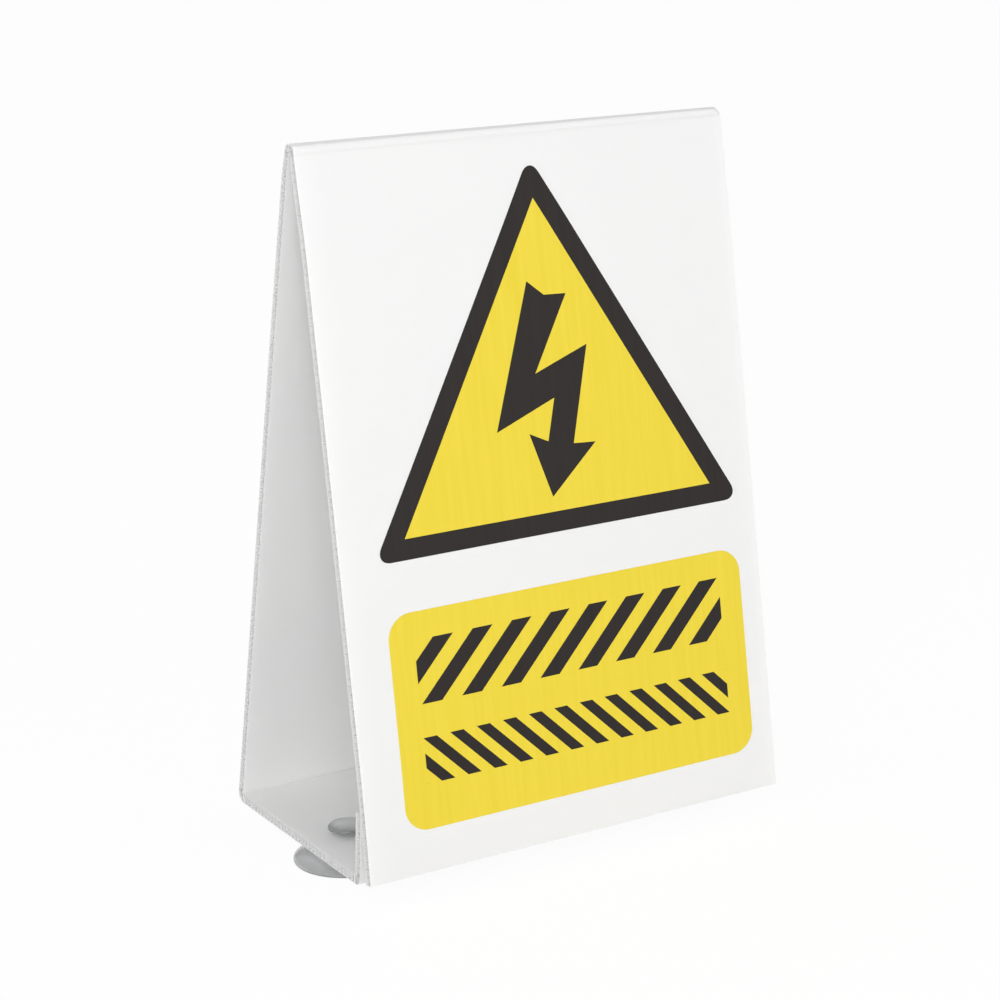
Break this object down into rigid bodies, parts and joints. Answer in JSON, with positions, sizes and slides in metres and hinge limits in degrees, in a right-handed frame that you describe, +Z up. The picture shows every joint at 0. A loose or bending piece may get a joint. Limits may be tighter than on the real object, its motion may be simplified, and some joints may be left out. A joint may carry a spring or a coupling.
{
  "type": "free-standing tent sign",
  "caption": "Tent-shaped electrical hazard sign folded from twin-wall plastic board, with a printed front and suction-cup feet that grip a flat surface.",
  "frame": {"origin": "on the standing surface, under the middle of the folded sign", "axes": "+X along the creases, to the right as the printed face is read; the printed face looks towards -Y; +Z up"},
  "size_m": [0.211, 0.1262, 0.3023],
  "materials": {
    "board_white": "white twin-wall polypropylene board, satin, slightly translucent",
    "ink_yellow": "flat printed yellow ink, satin",
    "ink_black": "flat printed black ink, satin",
    "tape": "double-sided adhesive tape, translucent white",
    "cup_clear": "soft clear PVC, glossy"
  },
  "bodies": {
    "base": {"base_panel": "board_white", "rear_fold": "board_white", "flap_fold": "board_white"},
    "rear": {"rear_panel": "board_white", "crest_fold": "board_white"},
    "front": {"front_panel": "board_white", "front_yellow_print": "ink_yellow", "front_black_print": "ink_black"},
    "flap": {"closure_flap": "board_white", "closure_tape": "tape"},
    "cup_left": {"suction_cup_left": "cup_clear"},
    "cup_right": {"suction_cup_right": "cup_clear"}
  },
  "joints": [
    {"name": "rear_crease", "type": "hinge", "parent": "base", "child": "rear", "pos_m": [0, 0.05907, 0.0104], "axis": [-1, 0, 0], "range_deg": [0, 104], "deforming": ["rear_fold"]},
    {"name": "crest_crease", "type": "hinge", "parent": "rear", "child": "front", "pos_m": [0, -0.01858, 0.29769], "axis": [-1, 0, 0], "range_deg": [0, 156], "deforming": ["crest_fold"]},
    {"name": "flap_crease", "type": "hinge", "parent": "base", "child": "flap", "pos_m": [0, -0.04813, 0.0104], "axis": [-1, 0, 0], "range_deg": [0, 92], "deforming": ["flap_fold"]},
    {"name": "cup_left_swivel", "type": "hinge", "parent": "base", "child": "cup_left", "pos_m": [-0.082, -0.00713, 0], "axis": [0, 0, 1], "continuous": true},
    {"name": "cup_right_swivel", "type": "hinge", "parent": "base", "child": "cup_right", "pos_m": [0.082, -0.00713, 0], "axis": [0, 0, 1], "continuous": true}
  ]
}
